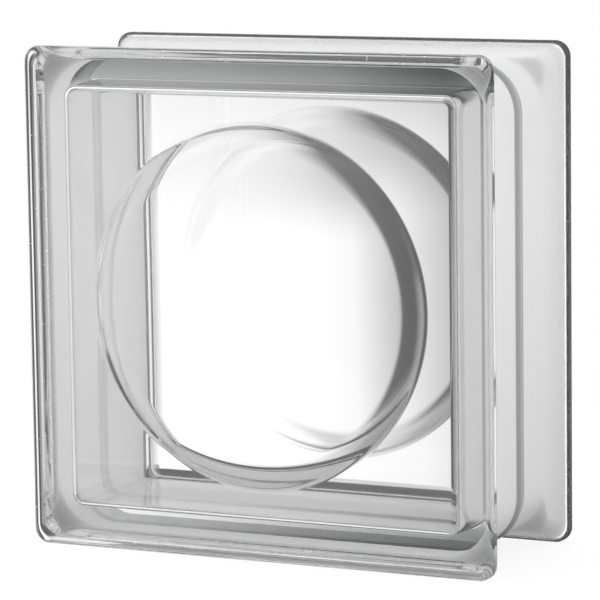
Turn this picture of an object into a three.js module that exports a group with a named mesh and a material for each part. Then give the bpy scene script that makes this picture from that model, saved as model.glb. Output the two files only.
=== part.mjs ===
// A hollow pressed-glass building block: two half-shells fused face to face at mid-depth.
//
// Each half is one closed loft. Its profile runs from the middle of the outer face, over the rounded
// face edge, along the flange and down the mortar channel to half of the seam bead, then back inside
// along the cavity wall and across the inner face, which carries a round lens-shaped recess.
//
// Millimetres, +Z up. The block stands on its lower edge, centred on X and Y, with its underside at Z = 0.
// The front face looks along -Y.

import * as THREE from "three";
import { mergeVertices } from "three/addons/utils/BufferGeometryUtils.js";

// Overall block
const blockSize = 190; // width and height of the faces
const blockDepth = 80; // from face to face
const cornerRadius = 6; // corners of each face, seen from the front

// Flange: the rim of each face, which stands out past the channel
const faceEdgeRadius = 2.5; // rounding between the face and the flange's outer land
const landWidth = 2; // flat outer land that the block stands on
const landEdgeRadius = 0.8; // rounding between the land and the flank

// Mortar channel round all four sides
const channelDepth = 5.6; // from the land down to the channel floor
const channelCornerRadius = 19; // corners of the channel floor
const flankWidth = 13; // how far the concave flank takes to curve down to the floor
const beadHeight = 1; // the fused seam stands this far above the channel floor
const beadWidth = 8;

// Hollow inside
const faceThickness = 6.5; // glass at the corners of the face, outside the recess
const wallThickness = 8.3; // from the channel floor to the hollow, at the seam
const cavityDraft = THREE.MathUtils.degToRad(1.6); // the hollow widens towards the seam
const cavityCornerRadius = 3;
const cavityFilletRadius = 1.2; // between the inner face and the cavity wall

// Round recess in the inner face: a rounded rim, a steep band that levels out, and a shallow dish
const recessMargin = 10.9; // from the cavity wall to the recess's outer rim
const rimWidth = 2.3; // from the flat to the steepest part of the band
const bandWidth = 7; // from the steepest part to the dish
const bandSlope = Math.tan(THREE.MathUtils.degToRad(25)); // at its steepest
const bandCurve = 1.3; // how soon the band levels out
const dishRadius = 1500; // the dish is part of a sphere

// How finely the curves are cut
const cornerSteps = 6; // segments in each corner
const sideSteps = 12; // segments along each straight side
const filletSteps = 3;
const flankSteps = 6;
const beadSteps = 4;
const rimSteps = 2;
const bandSteps = 4;
const dishSteps = 4;

const halfSize = blockSize / 2;
const halfDepth = blockDepth / 2;
const floorHalf = halfSize - channelDepth;
const wallStart = faceThickness + cavityFilletRadius;
const seamCavityHalf = floorHalf - wallThickness;
const cavityHalf = seamCavityHalf - Math.tan(cavityDraft) * (halfDepth - wallStart);
const recessRadius = cavityHalf - recessMargin;
const bandRadius = recessRadius - rimWidth;
const dishEdge = bandRadius - bandWidth;
const dishSlope = dishEdge / dishRadius; // at the dish's edge

// A loop is one level of the loft: a square of the given half-width with rounded corners, at a depth
// measured from the outer face. Every loop has the same number of points, starting in the same place.
function squareLoop(halfWidth, radius, depth) {
  const reach = halfWidth - radius;
  const points = [];
  for (let side = 0; side < 4; side++) {
    const turn = (side * Math.PI) / 2;
    for (let i = 0; i < sideSteps; i++) {
      const along = -reach + (2 * reach * i) / sideSteps;
      points.push(new THREE.Vector2(halfWidth, along).rotateAround(new THREE.Vector2(), turn));
    }
    for (let i = 0; i < cornerSteps; i++) {
      const angle = ((Math.PI / 2) * i) / cornerSteps;
      const corner = new THREE.Vector2(reach + radius * Math.cos(angle), reach + radius * Math.sin(angle));
      points.push(corner.rotateAround(new THREE.Vector2(), turn));
    }
  }
  return points.map((p) => new THREE.Vector3(p.x, depth, p.y));
}

// A round loop whose points lie in the same directions as those of a square loop of even spacing.
function roundLoop(radius, depth) {
  const count = 4 * (sideSteps + cornerSteps);
  const cornerShare = cornerSteps / (sideSteps + cornerSteps);
  const start = -(Math.PI / 4) * (1 - cornerShare);
  const points = [];
  for (let i = 0; i < count; i++) {
    const angle = start + (2 * Math.PI * i) / count;
    points.push(new THREE.Vector3(radius * Math.cos(angle), depth, radius * Math.sin(angle)));
  }
  return points;
}

// Even steps from 0 to 1, without the first value.
const steps = (count) => Array.from({ length: count }, (_, i) => (i + 1) / count);

// Square loops round the outside, from the flat of the outer face to the top of the seam bead.
function outsideLoops() {
  const loops = [];
  const faceFlat = halfSize - faceEdgeRadius;
  loops.push(squareLoop(faceFlat, cornerRadius - faceEdgeRadius, 0));

  for (const t of steps(filletSteps)) {
    const inset = faceEdgeRadius * (1 - Math.sin((t * Math.PI) / 2));
    const depth = faceEdgeRadius * (1 - Math.cos((t * Math.PI) / 2));
    loops.push(squareLoop(halfSize - inset, cornerRadius - inset, depth));
  }

  const landEnd = faceEdgeRadius + landWidth;
  loops.push(squareLoop(halfSize, cornerRadius, landEnd));

  const flankStart = { inset: landEdgeRadius, depth: landEnd + landEdgeRadius };
  loops.push(squareLoop(halfSize - flankStart.inset, cornerRadius, flankStart.depth));

  // The flank is a quarter of an ellipse, steep at the land and level where it meets the floor,
  // while the corners open out from the flange's radius to the channel's.
  for (const t of steps(flankSteps)) {
    const angle = (t * Math.PI) / 2;
    const inset = flankStart.inset + (channelDepth - flankStart.inset) * Math.sin(angle);
    const depth = flankStart.depth + flankWidth * (1 - Math.cos(angle));
    const radius = THREE.MathUtils.lerp(cornerRadius, channelCornerRadius, Math.sin(angle));
    loops.push(squareLoop(halfSize - inset, radius, depth));
  }

  const beadStart = halfDepth - beadWidth / 2;
  loops.push(squareLoop(floorHalf, channelCornerRadius, beadStart));
  for (const t of steps(beadSteps)) {
    const rise = beadHeight * Math.sin((t * Math.PI) / 2);
    const depth = beadStart + (beadWidth / 2) * (1 - Math.cos((t * Math.PI) / 2));
    loops.push(squareLoop(floorHalf + rise, channelCornerRadius + rise, depth));
  }
  return loops;
}

// How far the recess has sunk into the glass at a radius: its slope rises evenly over the rim, falls off
// over the band and then follows the dish.
function recessFall(radius) {
  const overRim = THREE.MathUtils.clamp((recessRadius - radius) / rimWidth, 0, 1);
  const overBand = THREE.MathUtils.clamp((bandRadius - radius) / bandWidth, 0, 1);
  const inDish = Math.min(radius, dishEdge);
  const rimFall = (bandSlope * rimWidth * overRim ** 2) / 2;
  const steepShare = (1 - (1 - overBand) ** (bandCurve + 1)) / (bandCurve + 1);
  const bandFall = bandWidth * (dishSlope * overBand + (bandSlope - dishSlope) * steepShare);
  const dishFall = (dishEdge ** 2 - inDish ** 2) / (2 * dishRadius);
  return rimFall + bandFall + dishFall;
}

// Loops up the cavity wall from the seam and across the inner face to the edge of the recess's middle.
function insideLoops() {
  const loops = [];
  const seamRadius = cavityCornerRadius + seamCavityHalf - cavityHalf;
  loops.push(squareLoop(seamCavityHalf, seamRadius, halfDepth));
  loops.push(squareLoop(cavityHalf, cavityCornerRadius, wallStart));

  for (const t of steps(filletSteps)) {
    const inset = cavityFilletRadius * (1 - Math.cos((t * Math.PI) / 2));
    const depth = wallStart - cavityFilletRadius * Math.sin((t * Math.PI) / 2);
    loops.push(squareLoop(cavityHalf - inset, cavityCornerRadius - inset, depth));
  }

  const recessRadii = [
    recessRadius,
    ...steps(rimSteps).map((t) => recessRadius - rimWidth * t),
    ...steps(bandSteps).map((t) => bandRadius - bandWidth * t),
    ...steps(dishSteps).map((t) => dishEdge * (1 - t)),
  ];
  for (const radius of recessRadii.slice(0, -1)) {
    loops.push(roundLoop(radius, faceThickness - recessFall(radius)));
  }
  return loops;
}

// Joins each loop to the next with a band of triangles and closes both ends to a point on the axis.
function loft(loops, startTip, endTip) {
  const count = loops[0].length;
  const positions = [startTip, ...loops.flat(), endTip];
  const index = [];
  const at = (loop, i) => 1 + loop * count + (i % count);
  const last = loops.length - 1;
  for (let i = 0; i < count; i++) {
    index.push(0, at(0, i), at(0, i + 1));
    for (let loop = 0; loop < last; loop++) {
      index.push(at(loop, i), at(loop + 1, i), at(loop + 1, i + 1));
      index.push(at(loop, i), at(loop + 1, i + 1), at(loop, i + 1));
    }
    index.push(at(last, i), positions.length - 1, at(last, i + 1));
  }
  const geometry = new THREE.BufferGeometry().setFromPoints(positions);
  geometry.setIndex(index);
  const closed = mergeVertices(geometry);
  closed.computeVertexNormals();
  return closed;
}

function halfShell(name, material) {
  const loops = [...outsideLoops(), ...insideLoops()];
  const faceMiddle = new THREE.Vector3(0, 0, 0);
  const dishMiddle = new THREE.Vector3(0, faceThickness - recessFall(0), 0);
  const mesh = new THREE.Mesh(loft(loops, faceMiddle, dishMiddle), material);
  mesh.name = name;
  return mesh;
}

const clearGlass = new THREE.MeshStandardMaterial({
  color: 0xe4ecea,
  roughness: 0.02,
  metalness: 0,
  transparent: true,
  opacity: 0.35,
});

const block = new THREE.Group();

const frontHalf = halfShell("front_half", clearGlass);
frontHalf.position.set(0, -halfDepth, halfSize);
block.add(frontHalf);

const rearHalf = halfShell("rear_half", clearGlass);
rearHalf.position.set(0, halfDepth, halfSize);
rearHalf.rotation.z = Math.PI;
block.add(rearHalf);

export default block;
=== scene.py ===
"""A hollow pressed-glass building block with a white-coated mortar channel, on a pale table.

The glass is one fused piece: an outer skin and a closed hollow inside it, both lofted from a section
that runs from the middle of the front face to the middle of the rear one. A thin ring inside the walls
is the joint where its halves were fused; it carries a painted shade over the top and bottom walls. The
coating is a thin shell over the channel, the seam bead and the rear flange's land, with sand-like specks
where it thins out over the flanks. Its greys are painted shade on the front flank and the rear land, and
partly on the bead.

Metres and degrees, +Z up. The front face looks along -Y.
"""

import math

import bpy
import numpy as np
from mathutils import Matrix, Vector


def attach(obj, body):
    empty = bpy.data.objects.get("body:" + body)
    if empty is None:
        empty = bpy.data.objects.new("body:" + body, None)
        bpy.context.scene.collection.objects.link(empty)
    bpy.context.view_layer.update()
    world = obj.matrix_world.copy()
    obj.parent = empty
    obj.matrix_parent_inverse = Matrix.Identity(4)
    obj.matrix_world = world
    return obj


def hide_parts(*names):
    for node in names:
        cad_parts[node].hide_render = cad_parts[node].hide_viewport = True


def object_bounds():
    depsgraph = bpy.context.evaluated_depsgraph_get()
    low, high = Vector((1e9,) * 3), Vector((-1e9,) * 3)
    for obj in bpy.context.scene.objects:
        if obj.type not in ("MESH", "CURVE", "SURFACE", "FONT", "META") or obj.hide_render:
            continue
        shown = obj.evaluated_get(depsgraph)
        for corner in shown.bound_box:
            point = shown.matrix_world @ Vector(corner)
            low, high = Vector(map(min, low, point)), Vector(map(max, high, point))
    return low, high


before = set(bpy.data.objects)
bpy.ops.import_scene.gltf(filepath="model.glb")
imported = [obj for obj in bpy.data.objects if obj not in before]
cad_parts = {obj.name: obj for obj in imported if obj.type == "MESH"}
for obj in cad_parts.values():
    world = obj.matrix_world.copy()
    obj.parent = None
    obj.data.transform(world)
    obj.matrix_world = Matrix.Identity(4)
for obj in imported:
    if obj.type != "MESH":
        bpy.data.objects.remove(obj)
cad_low, cad_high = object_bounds()

MM = 0.001
HAIR = 0.01 * MM  # keeps apart what would otherwise meet; too thin to show

# Block, from the frame
SIZE = cad_high[0] - cad_low[0]
DEPTH = cad_high[1] - cad_low[1]
MIDDLE = Vector((cad_low[i] + cad_high[i]) / 2 for i in range(3))
HALF = SIZE / 2
SEAM = DEPTH / 2

# Flange, as in the solids
FACE_CORNER = 6 * MM
FACE_EDGE_RADIUS = 2.5 * MM
LAND_WIDTH = 2 * MM
LAND_END = FACE_EDGE_RADIUS + LAND_WIDTH  # depth from the face
LAND_EDGE_RADIUS = 0.8 * MM

# Mortar channel and seam bead
CHANNEL_DEPTH = 5.6 * MM
CHANNEL_CORNER = 19 * MM
FLANK_WIDTH = 13 * MM
CORNER_KEPT = 0.55  # share of the flank's width over which its corners keep the flange's radius
BEAD_HEIGHT = 1 * MM
BEAD_WIDTH = 8 * MM

# Hollow
FACE_THICKNESS = 6.5 * MM
WALL_THICKNESS = 8.3 * MM
CAVITY_DRAFT = math.radians(1.6)
CAVITY_HALF = HALF - CHANNEL_DEPTH - WALL_THICKNESS  # at the seam
CAVITY_CORNER = 5 * MM
FRONT_FILLET = 3 * MM  # between the front's inner face and the cavity wall
REAR_FILLET = 4.8 * MM  # the same at the rear, where it may not pass the cavity's corner
SEAM_BLEND = 0.8 * MM  # how near the seam the two drafts blend

# Round recess in each inner face
RECESS_RADIUS = 69 * MM
RIM_WIDTH = 2.3 * MM  # from the flat to the steepest part of the band
BAND_WIDTH = 8.4 * MM  # from there to the dish
BAND_SLOPE = math.tan(math.radians(25))
BAND_CURVE = 1.3  # how soon the band levels out towards the dish
DISH_RADIUS = 1500 * MM

# Glass
SODA_LIME_IOR = 1.52
GLASS_TINT = "D5D6D5"
GLASS_DENSITY = 5.0

# Seam sheet: a painted shade over what is seen through the top and the bottom wall, stronger towards the
# right. How strongly at places across them, from -1 at the left end of the hollow to 1 at the right
SEAM_PAINTED_SHADE = "BABFBD"
SEAM_HALF_THICKNESS = 0.05 * MM
SEAM_INSET = 0.05 * MM  # clear of the hollow and of the bead's crest
TOP_PAINTED_SHADE = ((-1.0, 0.9), (-0.4, 0.9), (0.3, 1.0), (0.85, 1.4), (1.0, 0.8))
BOTTOM_PAINTED_SHADE = ((-1.0, 0.0), (-0.4, 0.3), (0.3, 0.8), (1.0, 1.1))
PAINTED_SHADE_STARTS, PAINTED_SHADE_FULL = 0.96, 1.02  # heights between which it sets in, as shares of the hollow's

# Coating, by its cover at places on the flank's quarter turn, in degrees from the land: it ends crisply on
# the front flank, and thins out into bare pinholes on the rear one and over the rear land
FRONT_COVER = ((64, 0.0), (66, 1.0))
REAR_COVER = ((4, 0.0), (8, 0.5), (34, 0.68), (50, 1.0))
LAND_COVER = 0.65
LAND_COAT_STARTS = 2 * MM  # depth from the rear face
LAND_COAT_TURN = 80  # how far it follows the land's inner edge, in degrees
# How white it shows. Against the glass it is greyer on the front flank from its edge to the floor, a painted
# shade that darkens the rims. Outside, the bead is grey from the foot to the crest, partly a thinner coat
# and partly painted shade that keeps its sides darker than its crest; the rear land is grey, a painted shade
# for the rear flange's dark edge.
COATING_WHITE = "FAFAFA"
COATING_GREY_AND_SHADE = "6E7074"
FLANK_PAINTED_SHADE = (0.62, 1.0)
BEAD_GREY_AND_SHADE = ((0.0, 1.0), (0.2, 0.35), (0.7, 0.45), (1.0, 0.65))
COATING_GLOW = 0.6  # share of the light that comes out on the other side
COATING_HALF_THICKNESS = 0.06 * MM
COATING_GRAIN = 0.3 * MM  # about three times as coarse as the real grit, which would not show
GRAIN_LIFT = (-0.42, 0.3)  # what no cover and full cover add to the grain's height
GRAIN_EDGE = (0.38, 0.42)  # heights at which paint begins and is whole

# Specks
SPECK_RADIUS = 0.18 * MM
SPECK_HEIGHT = 0.12 * MM
SPECK_SIDES = 6
SPECK_SUNK = 0.4  # share of the height that sits in the glass
SPECK_SCALES = (0.5, 1.5)
SPECKS_PER_AREA = 0.25 / MM**2
FRONT_SPECKS = (0.04, 0.1)  # shares of that number, on the land and where the solid paint begins
REAR_SPECKS = (0.5, 1)

# Cuts along each stretch of the section, and round each loop
FACE_SHARES = (0.25, 0.5, 0.75, 0.9, 0.97)  # loops across the flat of the face
FACE_EDGE_CUTS = 16
LAND_EDGE_CUTS = 6
FLANK_CUTS = 24
BEAD_CUTS = 12
RECESS_CUTS = (8, 16, 24)  # rim, band and dish
FILLET_CUTS = 8
COATING_CUTS = 43
SPECK_LAND_CUTS = 2
SPECK_FLANK_CUTS = 7
SIDE_CUTS = 24
CORNER_CUTS = 12
LOOP_POINTS = 4 * (SIDE_CUTS + CORNER_CUTS)


# A section is a list of rows. Each row has its half-width, its depth from the face, its corner radius (None
# where the row is round) and the normal's parts along the half-width and along the depth.


def arc_rows(half, depth, radius, start, end, cuts):
    """Points of an arc in the section and its outward normals, angles in degrees."""
    for i in range(cuts + 1):
        turn = math.radians(start + (end - start) * i / cuts)
        out, back = math.cos(turn), math.sin(turn)
        yield half + radius * out, depth + radius * back, out, back


def land_edge(end, cuts):
    """The rounding between the land and the flank, up to a turn in degrees."""
    return arc_rows(HALF - LAND_EDGE_RADIUS, LAND_END, LAND_EDGE_RADIUS, 0, end, cuts)


def flank_row(turn):
    """One row of the concave flank, a quarter of an ellipse from the land to the channel floor. Its
    corners keep the flange's radius at first and open out to the channel's further in."""
    fall = CHANNEL_DEPTH - LAND_EDGE_RADIUS
    half = HALF - LAND_EDGE_RADIUS - fall * math.sin(turn)
    depth = LAND_END + LAND_EDGE_RADIUS + FLANK_WIDTH * (1 - math.cos(turn))
    out, back = FLANK_WIDTH * math.sin(turn), fall * math.cos(turn)
    length = math.hypot(out, back)
    share = max(0, (1 - math.cos(turn) - CORNER_KEPT) / (1 - CORNER_KEPT))
    corner = FACE_CORNER + (CHANNEL_CORNER - FACE_CORNER) * share * share * (3 - 2 * share)
    return half, depth, corner, out / length, back / length


def channel_rows():
    """The channel floor and the near half of the seam bead."""
    floor = HALF - CHANNEL_DEPTH
    bead_start = SEAM - BEAD_WIDTH / 2
    rows = [(floor, bead_start - HAIR, CHANNEL_CORNER, 1, 0)]
    for i in range(1, BEAD_CUTS + 1):
        share = i / BEAD_CUTS
        rise = BEAD_HEIGHT * (1 - math.cos(math.pi * share)) / 2
        slope = BEAD_HEIGHT * math.pi * math.sin(math.pi * share) / BEAD_WIDTH
        length = math.hypot(1, slope)
        depth = bead_start + BEAD_WIDTH / 2 * share
        rows.append((floor + rise, depth, CHANNEL_CORNER + rise, 1 / length, -slope / length))
    return rows


def outer_rows():
    """From inside the flat of the front face to the top of the seam bead."""
    flat = HALF - FACE_EDGE_RADIUS
    corner = FACE_CORNER - FACE_EDGE_RADIUS
    rows = [(flat * share, 0, corner * share, 0, -1) for share in FACE_SHARES]
    for half, depth, out, back in arc_rows(flat, FACE_EDGE_RADIUS, FACE_EDGE_RADIUS, -90, 0, FACE_EDGE_CUTS):
        rows.append((half, depth, FACE_CORNER - (HALF - half), out, back))
    for half, depth, out, back in land_edge(90, LAND_EDGE_CUTS):
        rows.append((half, depth, FACE_CORNER, out, back))
    rows += [flank_row(math.pi / 2 * i / FLANK_CUTS) for i in range(1, FLANK_CUTS + 1)]
    return rows + channel_rows()


def recess_slope(radius):
    """How steeply the inner face falls away towards the middle at a radius."""
    band_radius = RECESS_RADIUS - RIM_WIDTH
    dish_edge = band_radius - BAND_WIDTH
    if radius > band_radius:
        share = (RECESS_RADIUS - radius) / RIM_WIDTH
        return BAND_SLOPE * share * share * (3 - 2 * share)
    if radius > dish_edge:
        share = (radius - dish_edge) / BAND_WIDTH
        level = dish_edge / DISH_RADIUS
        return level + (BAND_SLOPE - level) * share**BAND_CURVE
    return radius / DISH_RADIUS


def recess_rows():
    """Round rows from the recess's rim towards its middle, integrated from the slope."""
    band_radius = RECESS_RADIUS - RIM_WIDTH
    stops = [RECESS_RADIUS, band_radius, band_radius - BAND_WIDTH, 0]
    radii = [RECESS_RADIUS]
    for start, end, cuts in zip(stops, stops[1:], RECESS_CUTS):
        radii += list(np.linspace(start, end, cuts + 1))[1:]
    radii.pop()
    depth = FACE_THICKNESS
    rows = []
    for i, radius in enumerate(radii):
        if i:
            before = radii[i - 1]
            mean = recess_slope(before) + 4 * recess_slope((before + radius) / 2) + recess_slope(radius)
            depth -= mean / 6 * (before - radius)
        length = math.hypot(1, recess_slope(radius))
        rows.append((radius, depth, None, -recess_slope(radius) / length, 1 / length))
    return rows


def inner_rows(fillet):
    """From the middle of the recess, across the inner face and along the cavity wall to the seam."""
    wall_start = FACE_THICKNESS + fillet
    half = CAVITY_HALF - math.tan(CAVITY_DRAFT) * (SEAM - wall_start)
    rows = recess_rows()[::-1]
    wall_turn = -math.degrees(CAVITY_DRAFT)
    for at, depth, out, back in arc_rows(half - fillet, wall_start, fillet, -90, wall_turn, FILLET_CUTS):
        rows.append((at, depth, CAVITY_CORNER - (half - at), -out, -back))
    wall = -math.cos(CAVITY_DRAFT), math.sin(CAVITY_DRAFT)
    near = CAVITY_HALF - SEAM_BLEND * math.tan(CAVITY_DRAFT)
    rows.append((near, SEAM - SEAM_BLEND, CAVITY_CORNER + near - half, *wall))
    rows.append((CAVITY_HALF, SEAM, CAVITY_CORNER + CAVITY_HALF - half, -1, 0))
    return rows


def both_halves(front, rear):
    """Joins the front half's rows to the rear half's, turned about the seam."""
    rear = [(half, DEPTH - depth, corner, out, -back) for half, depth, corner, out, back in rear[-2::-1]]
    return front + rear


def square_loop(half, corner):
    """Points and plan normals of a square with rounded corners."""
    reach = half - corner
    side = [((half, -reach + 2 * reach * i / SIDE_CUTS), (1, 0)) for i in range(SIDE_CUTS)]
    for i in range(CORNER_CUTS):
        turn = math.pi / 2 * i / CORNER_CUTS
        out = math.cos(turn), math.sin(turn)
        side.append(((reach + corner * out[0], reach + corner * out[1]), out))
    side = np.array(side)
    quarter = np.array([[0, 1], [-1, 0]])
    turns = [np.linalg.matrix_power(quarter, k) for k in range(4)]
    return np.concatenate([side @ turn for turn in turns]).transpose(1, 0, 2)


def round_loop(radius):
    """Points and plan normals of a circle, spread so that they line up with a square loop's."""
    start = -math.pi / 4 * SIDE_CUTS / (SIDE_CUTS + CORNER_CUTS)
    turn = start + 2 * math.pi * np.arange(LOOP_POINTS) / LOOP_POINTS
    out = np.stack([np.cos(turn), np.sin(turn)], 1)
    return out * radius, out


def loft(rows):
    """Vertices and normals of the rows' loops, placed where the block stands."""
    vertices, normals = [], []
    for half, depth, corner, out, back in rows:
        points, plan = round_loop(half) if corner is None else square_loop(half, corner)
        y = np.full(LOOP_POINTS, cad_low[1] + depth)
        vertices.append(np.stack([MIDDLE.x + points[:, 0], y, MIDDLE.z + points[:, 1]], 1))
        normals.append(np.stack([plan[:, 0] * out, np.full(LOOP_POINTS, back), plan[:, 1] * out], 1))
    return np.concatenate(vertices), np.concatenate(normals)


def bands(count, first=0, ring=False):
    """Quads that join each loop to the next, and the last to the first if the loft is a ring."""
    quads = []
    for k in range(count if ring else count - 1):
        near, far = first + k * LOOP_POINTS, first + (k + 1) % count * LOOP_POINTS
        for i in range(LOOP_POINTS):
            j = (i + 1) % LOOP_POINTS
            quads.append((near + i, far + i, far + j, near + j))
    return quads


def fan(tip, first, turned):
    """Triangles that close a loop to a point."""
    ends = [(first + i, first + (i + 1) % LOOP_POINTS) for i in range(LOOP_POINTS)]
    return [(tip, b, a) if turned else (tip, a, b) for a, b in ends]


def skin(rows, inside):
    """A closed skin from a middle point of the front to one of the rear, facing out of the glass."""
    vertices, normals = loft(rows)
    last = (len(rows) - 1) * LOOP_POINTS
    tips = len(vertices)
    front = 1 if inside else -1
    for row, facing in ((rows[0], front), (rows[-1], -front)):
        vertices = np.vstack([vertices, [MIDDLE.x, cad_low[1] + row[1], MIDDLE.z]])
        normals = np.vstack([normals, [0, facing, 0]])
    faces = bands(len(rows)) + fan(tips, 0, False) + fan(tips + 1, last, True)
    if inside:
        faces = [face[::-1] for face in faces]
    return vertices, normals, faces


def make_object(name, vertices, normals, faces):
    """A smooth mesh object with the section's own normals."""
    mesh = bpy.data.meshes.new(name)
    mesh.from_pydata(vertices.tolist(), [], faces)
    mesh.shade_smooth()
    normals = normals / np.linalg.norm(normals, axis=1, keepdims=True)
    mesh.normals_split_custom_set_from_vertices(normals.tolist())
    piece = bpy.data.objects.new(name, mesh)
    bpy.context.scene.collection.objects.link(piece)
    return piece


def set_attribute(piece, name, values):
    """Keeps one number for each vertex of a piece, for its material or its specks to read."""
    layer = piece.data.attributes.new(name, "FLOAT", "POINT")
    layer.data.foreach_set("value", values)


def make_glass():
    """The fused block: its outer skin, and the skin of the hollow."""
    vertices, normals, faces = skin(both_halves(outer_rows(), outer_rows()), inside=False)
    hollow_rows = both_halves(inner_rows(FRONT_FILLET), inner_rows(REAR_FILLET))
    hollow_vertices, hollow_normals, hollow_faces = skin(hollow_rows, inside=True)
    shift = len(vertices)
    faces += [tuple(i + shift for i in face) for face in hollow_faces]
    vertices = np.vstack([vertices, hollow_vertices])
    normals = np.vstack([normals, hollow_normals])
    return make_object("glass_block", vertices, normals, faces)


def land_rows():
    """The flange's land and its rounded edge, just under the surface of the glass."""
    under = COATING_HALF_THICKNESS + HAIR
    rows = [(HALF - under, LAND_COAT_STARTS, FACE_CORNER - under, 1, 0)]
    for half, depth, out, back in land_edge(LAND_COAT_TURN, LAND_EDGE_CUTS):
        rows.append((half - under * out, depth - under * back, FACE_CORNER - under * out, out, back))
    return rows


def make_coating():
    """A thin closed shell over the front flank, the channel and the rear flank and land, with its cover and
    its shade of grey at each point; the grey is painted shade on the front flank and the rear land, and
    partly on the bead."""
    turns = np.linspace(REAR_COVER[0][0], 90, COATING_CUTS + 1)
    channel = channel_rows()
    land = land_rows()
    half_way = [flank_row(math.radians(turn)) for turn in turns] + channel
    rows = both_halves(half_way, land + half_way)

    front, rear = (np.interp(turns, *zip(*places)) for places in (FRONT_COVER, REAR_COVER))
    whole = np.ones(2 * len(channel) - 1)
    cover = np.concatenate([front, whole, rear[::-1], np.full(len(land), LAND_COVER)])
    bead = np.interp(np.linspace(0, 1, len(channel)), *zip(*BEAD_GREY_AND_SHADE))
    white = np.ones(len(turns))
    # Outside: the bead grey, partly a thinner coat and partly painted shade on its sides; the rear land
    # grey, a painted shade
    outer_grey_and_shade = np.concatenate([white, bead, bead[-2::-1], white, np.zeros(len(land))])
    inner_painted_shade = np.ones(len(rows))
    # Inside: painted shade on the front flank, greyer towards its edge
    inner_painted_shade[: len(turns)] = np.interp(turns, (FRONT_COVER[-1][0], 90), FLANK_PAINTED_SHADE)

    thickness = COATING_HALF_THICKNESS
    shell = []
    for half, depth, corner, out, back in rows:
        shell.append((half + thickness * out, depth + thickness * back, corner, out, back))
    for half, depth, corner, out, back in rows[::-1]:
        shell.append((half - thickness * out, depth - thickness * back, corner, -out, -back))
    vertices, normals = loft(shell)
    coating = make_object("edge_coating", vertices, normals, bands(len(shell), ring=True))
    for name, outside, inside in (("cover", cover, cover), ("whiteness_and_shade", outer_grey_and_shade, inner_painted_shade)):
        values = np.concatenate([outside, inside[::-1]])
        set_attribute(coating, name, np.repeat(values, LOOP_POINTS))
    return coating


def make_seam():
    """The joint of the two halves inside the walls, a thin ring across the glass, with how much painted
    shade it
    lays on what is seen through it: only in the top and bottom walls, and more towards the right."""
    hollow = CAVITY_HALF + SEAM_INSET, CAVITY_CORNER
    crest = HALF - CHANNEL_DEPTH + BEAD_HEIGHT - SEAM_INSET, CHANNEL_CORNER + BEAD_HEIGHT
    rows = []
    for side, ends in ((-1, (hollow, crest)), (1, (crest, hollow))):
        for half, corner in ends:
            rows.append((half, SEAM + side * SEAM_HALF_THICKNESS, corner, 0, side))
    vertices, normals = loft(rows)
    seam = make_object("seam_painted_shade", vertices, normals, bands(len(rows), ring=True))
    aside, above = (vertices[:, 0] - MIDDLE.x) / hollow[0], (vertices[:, 2] - MIDDLE.z) / hollow[0]
    # Painted shade: darker through the top and the bottom wall, more towards the right
    top, bottom = (np.interp(aside, *zip(*places)) for places in (TOP_PAINTED_SHADE, BOTTOM_PAINTED_SHADE))
    share = np.interp(np.abs(above), (PAINTED_SHADE_STARTS, PAINTED_SHADE_FULL), (0, 1))
    set_attribute(seam, "painted_shade_share", np.where(above > 0, top, bottom) * share)
    return seam


# Materials and node trees


def linear(hex_colour):
    """Linear RGBA of an sRGB hex colour."""
    channels = [int(hex_colour[i : i + 2], 16) / 255 for i in (0, 2, 4)]
    return [c / 12.92 if c <= 0.04045 else ((c + 0.055) / 1.055) ** 2.4 for c in channels] + [1]


def add(tree, kind, settings=None, inputs=None):
    """Adds a node with its settings; an input is a value or another node's output socket."""
    node = tree.nodes.new(kind)
    for name, value in (settings or {}).items():
        setattr(node, name, value)
    for name, value in (inputs or {}).items():
        if isinstance(value, bpy.types.NodeSocket):
            tree.links.new(value, node.inputs[name])
        else:
            node.inputs[name].default_value = value
    return node


def new_material(name):
    material = bpy.data.materials.new(name)
    material.use_nodes = True
    material.node_tree.nodes.clear()
    return material, material.node_tree


def pressed_soda_lime_glass():
    """Clear pressed soda-lime glass, fire-polished: sharp refraction, and a faint grey-green where it is
    seen through a long stretch of glass."""
    material, tree = new_material("pressed_soda_lime_glass")
    glass = add(
        tree,
        "ShaderNodeBsdfPrincipled",
        inputs={
            "Base Color": linear("FFFFFF"),
            "Roughness": 0.0,
            "IOR": SODA_LIME_IOR,
            "Transmission Weight": 1.0,
        },
    )
    tint = add(
        tree,
        "ShaderNodeVolumeAbsorption",
        inputs={"Color": linear(GLASS_TINT), "Density": GLASS_DENSITY},
    )
    add(
        tree,
        "ShaderNodeOutputMaterial",
        inputs={"Surface": glass.outputs["BSDF"], "Volume": tint.outputs["Volume"]},
    )
    return material


def seam_painted_shade():
    """A sheet at the fused joint inside the glass that paints shade: it darkens what is seen through it by
    the share that the ring carries."""
    material, tree = new_material("seam_painted_shade")
    painted_shade_share = add(tree, "ShaderNodeAttribute", {"attribute_name": "painted_shade_share"})
    # Painted shade: the sheet dims what is seen through it by this share
    shade = add(
        tree,
        "ShaderNodeMix",
        {"data_type": "RGBA", "clamp_factor": False},
        {0: painted_shade_share.outputs["Fac"], 6: linear("FFFFFF"), 7: linear(SEAM_PAINTED_SHADE)},
    )
    joint = add(tree, "ShaderNodeBsdfTransparent", inputs={"Color": shade.outputs[2]})
    add(tree, "ShaderNodeOutputMaterial", inputs={"Surface": joint.outputs["BSDF"]})
    return material


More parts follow.
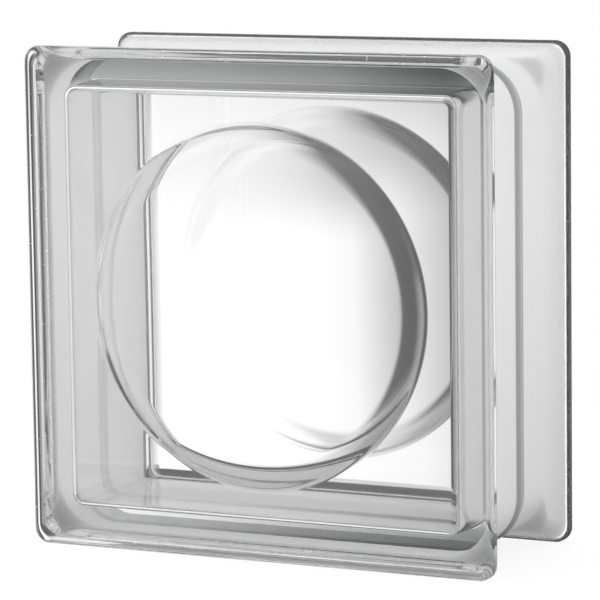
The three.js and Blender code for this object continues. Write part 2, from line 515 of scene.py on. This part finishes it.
def sprayed_vinyl_coating():
    """White sprayed vinyl key coat: dead matt, thin enough for light to glow through it, and sandy where it
    thins out. Its greys are painted shade on the front flank and the rear land, and partly on the bead."""
    material, tree = new_material("sprayed_vinyl_coating")
    whiteness_and_shade = add(tree, "ShaderNodeAttribute", {"attribute_name": "whiteness_and_shade"})
    # The coat's grey: painted shade on the front flank and the rear land, and partly on the bead
    paint = add(
        tree,
        "ShaderNodeMix",
        {"data_type": "RGBA"},
        {0: whiteness_and_shade.outputs["Fac"], 6: linear(COATING_GREY_AND_SHADE), 7: linear(COATING_WHITE)},
    )
    face = add(tree, "ShaderNodeBsdfDiffuse", inputs={"Color": paint.outputs[2]})
    glow = add(tree, "ShaderNodeBsdfTranslucent", inputs={"Color": paint.outputs[2]})
    solid = add(
        tree,
        "ShaderNodeMixShader",
        inputs={0: COATING_GLOW, 1: face.outputs["BSDF"], 2: glow.outputs["BSDF"]},
    )
    place = add(tree, "ShaderNodeTexCoord")
    grain = add(
        tree,
        "ShaderNodeTexNoise",
        inputs={"Vector": place.outputs["Object"], "Scale": 1 / COATING_GRAIN, "Detail": 1.0},
    )
    cover = add(tree, "ShaderNodeAttribute", {"attribute_name": "cover"})
    lift = add(
        tree,
        "ShaderNodeMapRange",
        inputs={"Value": cover.outputs["Fac"], "To Min": GRAIN_LIFT[0], "To Max": GRAIN_LIFT[1]},
    )
    lifted = add(
        tree,
        "ShaderNodeMath",
        {"operation": "ADD"},
        {0: grain.outputs["Fac"], 1: lift.outputs["Result"]},
    )
    there = add(
        tree,
        "ShaderNodeMapRange",
        inputs={"Value": lifted.outputs[0], "From Min": GRAIN_EDGE[0], "From Max": GRAIN_EDGE[1]},
    )
    bare = add(tree, "ShaderNodeBsdfTransparent")
    coat = add(
        tree,
        "ShaderNodeMixShader",
        inputs={0: there.outputs["Result"], 1: bare.outputs["BSDF"], 2: solid.outputs["Shader"]},
    )
    add(tree, "ShaderNodeOutputMaterial", inputs={"Surface": coat.outputs["Shader"]})
    return material


def stray_vinyl_specks():
    """Stray specks of the same coating: dead matt and white, too thick to glow."""
    material, tree = new_material("stray_vinyl_specks")
    face = add(tree, "ShaderNodeBsdfDiffuse", inputs={"Color": linear(COATING_WHITE)})
    add(tree, "ShaderNodeOutputMaterial", inputs={"Surface": face.outputs["BSDF"]})
    return material


def specks_tree(material):
    """Geometry nodes that scatter flat cones of coating over a surface, as thick as its cover says."""
    tree = bpy.data.node_groups.new("coating_specks", "GeometryNodeTree")
    tree.interface.new_socket("Geometry", in_out="INPUT", socket_type="NodeSocketGeometry")
    sizes = {"Specks per Area": SPECKS_PER_AREA, "Speck Radius": SPECK_RADIUS, "Speck Height": SPECK_HEIGHT}
    for name in sizes:
        tree.interface.new_socket(name, in_out="INPUT", socket_type="NodeSocketFloat")
    tree.interface.new_socket("Geometry", in_out="OUTPUT", socket_type="NodeSocketGeometry")
    given = add(tree, "NodeGroupInput").outputs
    cover = add(tree, "GeometryNodeInputNamedAttribute", {"data_type": "FLOAT"}, {"Name": "cover"})
    density = add(
        tree,
        "ShaderNodeMath",
        {"operation": "MULTIPLY"},
        {0: cover.outputs["Attribute"], 1: given["Specks per Area"]},
    )
    points = add(
        tree,
        "GeometryNodeDistributePointsOnFaces",
        inputs={"Mesh": given["Geometry"], "Density": density.outputs[0], "Seed": 7},
    )
    speck = add(
        tree,
        "GeometryNodeMeshCone",
        inputs={
            "Vertices": SPECK_SIDES,
            "Radius Bottom": given["Speck Radius"],
            "Depth": given["Speck Height"],
        },
    )
    sink = add(
        tree,
        "ShaderNodeMath",
        {"operation": "MULTIPLY"},
        {0: given["Speck Height"], 1: -SPECK_SUNK},
    )
    offset = add(tree, "ShaderNodeCombineXYZ", inputs={"Z": sink.outputs[0]})
    sunk = add(
        tree,
        "GeometryNodeTransform",
        inputs={"Geometry": speck.outputs["Mesh"], "Translation": offset.outputs[0]},
    )
    scale = add(
        tree,
        "FunctionNodeRandomValue",
        {"data_type": "FLOAT"},
        {"Min": SPECK_SCALES[0], "Max": SPECK_SCALES[1], "Seed": 3},
    )
    placed = add(
        tree,
        "GeometryNodeInstanceOnPoints",
        inputs={
            "Points": points.outputs["Points"],
            "Instance": sunk.outputs["Geometry"],
            "Rotation": points.outputs["Rotation"],
            "Scale": scale.outputs["Value"],
        },
    )
    solid = add(tree, "GeometryNodeRealizeInstances", inputs={"Geometry": placed.outputs["Instances"]})
    painted = add(
        tree,
        "GeometryNodeSetMaterial",
        inputs={"Geometry": solid.outputs["Geometry"], "Material": material},
    )
    add(tree, "NodeGroupOutput", inputs={"Geometry": painted.outputs["Geometry"]})
    return tree, sizes


def make_specks(material):
    """Stray specks of coating on the lands and over both flanks, more of them nearer the solid paint."""
    land = HALF - SPECK_HEIGHT
    front = [(land, FACE_EDGE_RADIUS, FACE_CORNER, 1, 0)]
    for half, depth, out, back in land_edge(90, SPECK_LAND_CUTS):
        front.append((min(half, land), depth, FACE_CORNER, out, back))
    turns = np.linspace(0, FRONT_COVER[-1][0], SPECK_FLANK_CUTS + 1)[1:]
    front += [flank_row(math.radians(turn)) for turn in turns]
    count = len(front)
    rear = [(half, DEPTH - depth, corner, out, -back) for half, depth, corner, out, back in front[::-1]]
    vertices, normals = loft(front + rear)
    faces = bands(count) + bands(count, first=count * LOOP_POINTS)
    specks = make_object("coating_specks", vertices, normals, faces)
    shares = [np.linspace(*FRONT_SPECKS, count), np.linspace(*REAR_SPECKS[::-1], count)]
    set_attribute(specks, "cover", np.repeat(np.concatenate(shares), LOOP_POINTS))

    tree, sizes = specks_tree(material)
    modifier = specks.modifiers.new("specks", "NODES")
    modifier.node_group = tree
    for socket in tree.interface.items_tree:
        if socket.name in sizes:
            modifier[socket.identifier] = sizes[socket.name]
    evaluated = specks.evaluated_get(bpy.context.evaluated_depsgraph_get())
    mesh = bpy.data.meshes.new_from_object(evaluated)
    specks.modifiers.remove(modifier)
    specks.data = mesh
    return specks


glass = make_glass()
glass.data.materials.append(pressed_soda_lime_glass())
coating = make_coating()
coating.data.materials.append(sprayed_vinyl_coating())
specks = make_specks(stray_vinyl_specks())
seam = make_seam()
seam.data.materials.append(seam_painted_shade())

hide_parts("front_half", "rear_half")
for piece in (glass, seam, coating, specks):
    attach(piece, "root")


# Surroundings: a white tent with an opening behind the block and dark flags to the right of it. Each band
# of heights has its own strengths round the compass, in degrees from +Y towards +X, and fades into the
# one above it between two elevations.
GROUND = [(-180, 0.7), (-115, 1.1), (-80, 0.25), (-50, 0.06), (-20, 0.05), (40, 0.1), (100, 0.6), (180, 0.7)]
LOW = [
    (-180, 0.5), (-130, 1.3), (-82, 0.7), (-50, 0.3), (-44, 1.1), (-29, 1.1), (-26, 0.6), (-23, 0.8),
    (-18, 0.35), (-11, 0.25), (0, 0.4), (30, 0.8), (50, 0.2), (90, 0.65), (180, 0.5),
]
LEVEL = [
    (-180, 0.4), (-120, 1.2), (-80, 0.6), (-55, 0.9), (-44, 1.1), (-25, 1.1), (-23.3, 0.95), (-22.3, 0.5),
    (-21, 0.06), (-13, 0.05), (-10, 0.3), (5, 0.35), (25, 0.45), (45, 0.05), (60, 0.05), (90, 0.6),
    (180, 0.4),
]
UPPER = [
    (-180, 0.4), (-120, 1.3), (-82, 0.7), (-52, 0.4), (-44, 1.1), (-40, 1.0), (-29, 0.98), (-27, 0.9),
    (-25, 0.7), (-23.3, 0.35), (-21, 0.08), (-13, 0.04), (-6, 0.2), (20, 0.2), (45, 0.05), (90, 0.6),
    (180, 0.4),
]
HIGH = [
    (-180, 0.6), (-115, 1.5), (-85, 1.0), (-50, 0.4), (-40, 0.8), (-29, 0.9), (-25.5, 0.7), (-21, 0.12),
    (-13, 0.07), (0, 0.15), (20, 0.3), (45, 0.4), (90, 0.7), (180, 0.6),
]
TOP = [
    (-180, 1.0), (-115, 1.6), (-88, 1.2), (-75, 0.6), (-50, 0.4), (-40, 0.4), (-31, 0.45), (-27, 0.2),
    (-24, 0.07), (-15, 0.1), (0, 0.4), (30, 0.8), (90, 0.9), (180, 1.0),
]
BANDS = (GROUND, LOW, LEVEL, UPPER, HIGH, TOP)
BAND_EDGES = ((-27, -22.5), (-17, -12), (-6.6, -4), (0, 6), (10, 20))
# The even light of the tent, which is all that matt surfaces get
SOFT_LIGHT = [(-180, 1.25), (-90, 1.95), (0, 1.7), (45, 1.3), (100, 1.15), (150, 1.2), (180, 1.3)]


def make_surroundings():
    """The tent, which shows its bands in the glass, lights the coating evenly and is white behind it all."""
    world = bpy.data.worlds.new("studio_tent")
    bpy.context.scene.world = world
    world.use_nodes = True
    tree = world.node_tree
    tree.nodes.clear()
    place = add(tree, "ShaderNodeTexCoord")
    way = add(tree, "ShaderNodeSeparateXYZ", inputs={0: place.outputs["Generated"]})
    compass = add(
        tree,
        "ShaderNodeMath",
        {"operation": "ARCTAN2"},
        {0: way.outputs["X"], 1: way.outputs["Y"]},
    )
    height = add(tree, "ShaderNodeMath", {"operation": "ARCSINE"}, {0: way.outputs["Z"]})
    turn = add(
        tree,
        "ShaderNodeMapRange",
        inputs={"Value": compass.outputs[0], "From Min": -math.pi, "From Max": math.pi},
    )
    peak = max(strength for band in (*BANDS, SOFT_LIGHT) for _, strength in band)
    ramps = []
    for band in (*BANDS, SOFT_LIGHT):
        ramp = add(tree, "ShaderNodeValToRGB", inputs={"Fac": turn.outputs["Result"]})
        stops = ramp.color_ramp.elements
        stops.remove(stops[1])
        for azimuth, strength in band:
            position = (azimuth + 180) / 360
            stop = stops.new(position) if position else stops[0]
            stop.color = [strength / peak] * 3 + [1]
        ramps.append(ramp.outputs["Color"])
    seen = ramps[0]
    for upper, edge in zip(ramps[1:], BAND_EDGES):
        rise = add(
            tree,
            "ShaderNodeMapRange",
            {"interpolation_type": "SMOOTHSTEP"},
            {
                "Value": height.outputs[0],
                "From Min": math.radians(edge[0]),
                "From Max": math.radians(edge[1]),
            },
        )
        mix = add(
            tree,
            "ShaderNodeMix",
            {"data_type": "RGBA"},
            {0: rise.outputs["Result"], 6: seen, 7: upper},
        )
        seen = mix.outputs[2]
    path = add(tree, "ShaderNodeLightPath")
    scattered = add(
        tree,
        "ShaderNodeMath",
        {"operation": "GREATER_THAN"},
        {0: path.outputs["Diffuse Depth"], 1: 0.5},
    )
    met = add(tree, "ShaderNodeMix", {"data_type": "RGBA"}, {0: scattered.outputs[0], 6: seen, 7: ramps[-1]})
    lit = add(tree, "ShaderNodeMath", {"operation": "MULTIPLY"}, {0: met.outputs[2], 1: peak})
    strength = add(
        tree,
        "ShaderNodeMix",
        {"data_type": "FLOAT"},
        {0: path.outputs["Is Camera Ray"], 2: lit.outputs[0], 3: 1.0},
    )
    background = add(
        tree,
        "ShaderNodeBackground",
        inputs={"Color": linear("FFFFFF"), "Strength": strength.outputs[0]},
    )
    add(tree, "ShaderNodeOutputWorld", inputs={"Surface": background.outputs[0]})


# Table: white where it is looked at, so that it joins the background, with a little of its own shade left
# for the block's shadow. What it throws back on the coating is duller.
TABLE_RADIUS = 300 * MM
TABLE_CUTS = 96
TABLE_WHITE = "F6F6F6"
TABLE_BACKGROUND_SHARE = 0.85
TABLE_GLOW = "808080"


def make_table():
    """A round table top under the block, which is not there for the light that passes through the glass."""
    turns = [2 * math.pi * i / TABLE_CUTS for i in range(TABLE_CUTS)]
    mesh = bpy.data.meshes.new("table")
    rim = [(TABLE_RADIUS * math.cos(turn), TABLE_RADIUS * math.sin(turn), cad_low[2]) for turn in turns]
    mesh.from_pydata(rim, [], [tuple(range(TABLE_CUTS))])
    table = bpy.data.objects.new("table", mesh)
    bpy.context.scene.collection.objects.link(table)
    material, tree = new_material("white_laminate")
    matt = add(tree, "ShaderNodeBsdfDiffuse", inputs={"Color": linear(TABLE_WHITE)})
    dull = add(tree, "ShaderNodeBsdfDiffuse", inputs={"Color": linear(TABLE_GLOW)})
    white = add(tree, "ShaderNodeEmission", inputs={"Color": linear("FFFFFF"), "Strength": 1.0})
    unseen = add(tree, "ShaderNodeBsdfTransparent")
    path = add(tree, "ShaderNodeLightPath")
    shown = add(
        tree,
        "ShaderNodeMixShader",
        inputs={0: TABLE_BACKGROUND_SHARE, 1: matt.outputs[0], 2: white.outputs[0]},
    )
    scattered = add(
        tree,
        "ShaderNodeMath",
        {"operation": "GREATER_THAN"},
        {0: path.outputs["Diffuse Depth"], 1: 0.5},
    )
    hidden = add(
        tree,
        "ShaderNodeMixShader",
        inputs={0: scattered.outputs[0], 1: unseen.outputs[0], 2: dull.outputs[0]},
    )
    mix = add(
        tree,
        "ShaderNodeMixShader",
        inputs={0: path.outputs["Is Camera Ray"], 1: hidden.outputs[0], 2: shown.outputs[0]},
    )
    add(tree, "ShaderNodeOutputMaterial", inputs={"Surface": mix.outputs[0]})
    mesh.materials.append(material)


# Camera: a long lens on the front, from the right and a little above
CAMERA_AZIMUTH = math.radians(25.873)
CAMERA_ELEVATION = math.radians(8.194)
CAMERA_ROLL = math.radians(-0.805)
CAMERA_DISTANCE = 1378.7 * MM
CAMERA_AIM = (0.184 * MM, -2.016 * MM)  # to the right of and above the block's middle, as seen
CLIP_START = 10 * MM
SENSOR_WIDTH = 36  # this and the lens in millimetres, as Blender has them
FOCAL_LENGTH = 219.364


def make_camera():
    camera = bpy.data.cameras.new("camera")
    camera.sensor_width = SENSOR_WIDTH
    camera.lens = FOCAL_LENGTH
    camera.clip_start = CLIP_START
    holder = bpy.data.objects.new("camera", camera)
    bpy.context.scene.collection.objects.link(holder)
    bpy.context.scene.camera = holder
    right = Vector((math.cos(CAMERA_AZIMUTH), math.sin(CAMERA_AZIMUTH), 0))
    level_back = Vector((math.sin(CAMERA_AZIMUTH), -math.cos(CAMERA_AZIMUTH), 0))
    back = level_back * math.cos(CAMERA_ELEVATION) + Vector((0, 0, math.sin(CAMERA_ELEVATION)))
    up = back.cross(right)
    place = MIDDLE + right * CAMERA_AIM[0] + up * CAMERA_AIM[1] + back * CAMERA_DISTANCE
    turn = Matrix((right, up, back)).transposed().to_4x4() @ Matrix.Rotation(CAMERA_ROLL, 4, "Z")
    holder.matrix_world = Matrix.Translation(place) @ turn


make_surroundings()
make_table()
make_camera()

scene = bpy.context.scene
scene.view_settings.view_transform = "Standard"
# Light crosses the glass many times between the coated walls, and must not be blurred on the way
scene.cycles.blur_glossy = 0
scene.cycles.max_bounces = 20
scene.cycles.transmission_bounces = 20
scene.cycles.glossy_bounces = 12
scene.cycles.diffuse_bounces = 8
